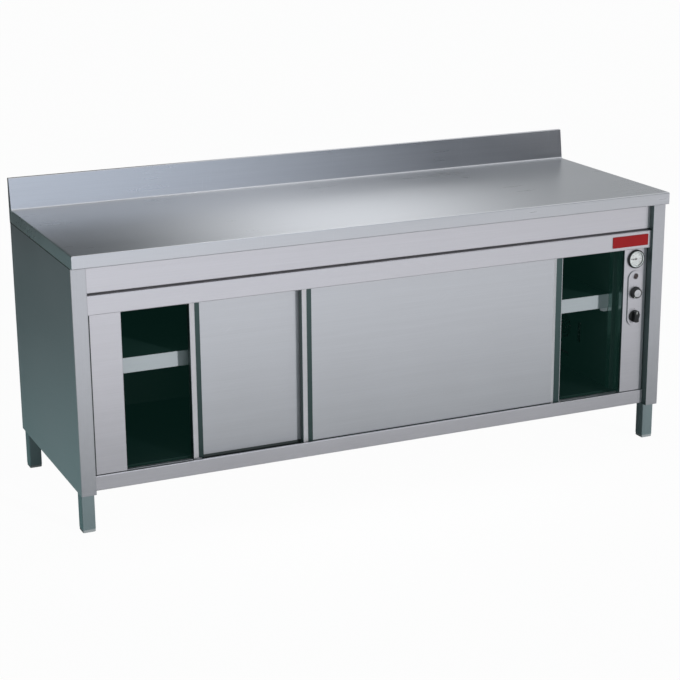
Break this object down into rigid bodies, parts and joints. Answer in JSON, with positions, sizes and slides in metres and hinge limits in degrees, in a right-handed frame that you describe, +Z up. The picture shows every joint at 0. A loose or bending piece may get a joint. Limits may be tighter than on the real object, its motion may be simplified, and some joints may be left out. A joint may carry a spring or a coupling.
{
  "type": "hot cupboard",
  "caption": "Free-standing stainless-steel hot cupboard with a flat worktop and rear upstand, sliding doors, a middle shelf, a control panel and adjustable feet.",
  "frame": {"origin": "centre of the bounding box on the floor, under the feet", "axes": "+X right along the front, +Y back towards the wall, +Z up; the doors and controls face -Y"},
  "size_m": [2, 0.7, 0.95],
  "materials": {
    "stainless": "fine horizontal brushed grain",
    "door_steel": "fine brushed grain, slightly cooler than the casing",
    "inner_steel": "plain mill finish inside the cupboard",
    "plate_steel": "satin",
    "galvanised": "zinc plated",
    "heater_steel": "oxidised heating tube",
    "aluminium": "mill finish extrusion",
    "motor": "cast motor shell",
    "bright_cap": "bright spun disc",
    "board": "chipboard",
    "mineral_wool": "mineral wool slab in foil edges",
    "black_plastic": "fine satin moulding",
    "rubber": "moulded",
    "black_nylon": "moulded",
    "black_enamel": "satin",
    "white_nylon": "moulded",
    "ivory_plastic": "moulded",
    "grey_plastic": "moulded",
    "foot_plastic": "moulded",
    "dial_white": "printed dial",
    "lamp_lens": "unlit lens",
    "glass": "clear"
  },
  "bodies": {
    "root": {"worktop": "stainless", "worktop_board": "board", "corner_posts": "stainless", "post_plugs": "black_nylon", "left_side_panel": "stainless", "right_side_panel": "stainless", "back_panel": "stainless", "bottom_rail": "stainless", "door_trough": "stainless", "base_pan": "stainless", "floor_stiffeners": "stainless", "upper_fascia": "stainless", "door_header": "stainless", "top_track": "aluminium", "track_stops": "rubber", "bottom_guides": "inner_steel", "left_infill_panel": "stainless", "control_panel": "stainless", "ceiling_panel": "inner_steel", "left_liner": "inner_steel", "rear_liner": "inner_steel", "bay_partition": "inner_steel", "insulation": "mineral_wool", "middle_shelf": "inner_steel", "shelf_brackets": "inner_steel", "fan_plate": "galvanised", "fan_motor": "motor", "heating_element": "heater_steel", "terminal_block": "ivory_plastic", "cable_gland": "grey_plastic", "thermometer_case": "black_plastic", "thermometer_bezel": "black_plastic", "thermometer_dial": "dial_white", "thermometer_glass": "glass", "control_plate": "plate_steel", "pilot_lamp": "lamp_lens", "thermostat_body": "ivory_plastic", "switch_body": "grey_plastic"},
    "left_door": {"left_door_skin": "door_steel", "left_door_tray": "inner_steel", "left_door_edges": "mineral_wool", "left_door_hangers": "galvanised"},
    "right_door": {"right_door_skin": "door_steel", "right_door_tray": "inner_steel", "right_door_edges": "mineral_wool", "right_door_hangers": "galvanised"},
    "thermostat_knob": {"thermostat_knob": "black_plastic", "thermostat_cap": "bright_cap"},
    "switch_knob": {"switch_knob": "black_plastic"},
    "thermometer_needle": {"thermometer_needle": "black_enamel"},
    "fan_impeller": {"fan_impeller": "galvanised"},
    "front_left_foot": {"front_left_foot": "foot_plastic"},
    "front_right_foot": {"front_right_foot": "foot_plastic"},
    "rear_left_foot": {"rear_left_foot": "foot_plastic"},
    "rear_right_foot": {"rear_right_foot": "foot_plastic"},
    "left_roller_a": {"left_roller_a": "white_nylon"},
    "left_roller_b": {"left_roller_b": "white_nylon"},
    "right_roller_a": {"right_roller_a": "white_nylon"},
    "right_roller_b": {"right_roller_b": "white_nylon"}
  },
  "joints": [
    {"name": "left_door_slide", "type": "slide", "parent": "root", "child": "left_door", "axis": [1, 0, 0], "range_m": [-0.235, 0.5915]},
    {"name": "right_door_slide", "type": "slide", "parent": "root", "child": "right_door", "axis": [1, 0, 0], "range_m": [-0.5865, 0.24]},
    {"name": "left_roller_a_spin", "type": "hinge", "parent": "left_door", "child": "left_roller_a", "pos_m": [-0.539, -0.254, 0.7067], "axis": [0, 1, 0], "continuous": true},
    {"name": "left_roller_b_spin", "type": "hinge", "parent": "left_door", "child": "left_roller_b", "pos_m": [0.1995, -0.254, 0.7067], "axis": [0, 1, 0], "continuous": true},
    {"name": "right_roller_a_spin", "type": "hinge", "parent": "right_door", "child": "right_roller_a", "pos_m": [-0.1875, -0.278, 0.7067], "axis": [0, 1, 0], "continuous": true},
    {"name": "right_roller_b_spin", "type": "hinge", "parent": "right_door", "child": "right_roller_b", "pos_m": [0.551, -0.278, 0.7067], "axis": [0, 1, 0], "continuous": true},
    {"name": "thermostat_turn", "type": "hinge", "parent": "root", "child": "thermostat_knob", "pos_m": [0.91, -0.308, 0.514], "axis": [0, 1, 0], "range_deg": [0, 270]},
    {"name": "switch_turn", "type": "hinge", "parent": "root", "child": "switch_knob", "pos_m": [0.91, -0.308, 0.434], "axis": [0, 1, 0], "range_deg": [0, 90]},
    {"name": "needle_swing", "type": "hinge", "parent": "root", "child": "thermometer_needle", "pos_m": [0.91, -0.304, 0.627], "axis": [0, 1, 0], "range_deg": [-45, 225]},
    {"name": "fan_spin", "type": "hinge", "parent": "root", "child": "fan_impeller", "pos_m": [0.928, 0.06, 0.312], "axis": [1, 0, 0], "continuous": true},
    {"name": "front_left_foot_screw", "type": "slide", "parent": "root", "child": "front_left_foot", "axis": [0, 0, -1], "range_m": [0, 0.025]},
    {"name": "front_right_foot_screw", "type": "slide", "parent": "root", "child": "front_right_foot", "axis": [0, 0, -1], "range_m": [0, 0.025]},
    {"name": "rear_left_foot_screw", "type": "slide", "parent": "root", "child": "rear_left_foot", "axis": [0, 0, -1], "range_m": [0, 0.025]},
    {"name": "rear_right_foot_screw", "type": "slide", "parent": "root", "child": "rear_right_foot", "axis": [0, 0, -1], "range_m": [0, 0.025]}
  ],
  "couplings": [
    {"joint": "left_roller_a_spin", "follows": "left_door_slide", "rad_per_m": 100},
    {"joint": "left_roller_b_spin", "follows": "left_door_slide", "rad_per_m": 100},
    {"joint": "right_roller_a_spin", "follows": "right_door_slide", "rad_per_m": 100},
    {"joint": "right_roller_b_spin", "follows": "right_door_slide", "rad_per_m": 100}
  ]
}
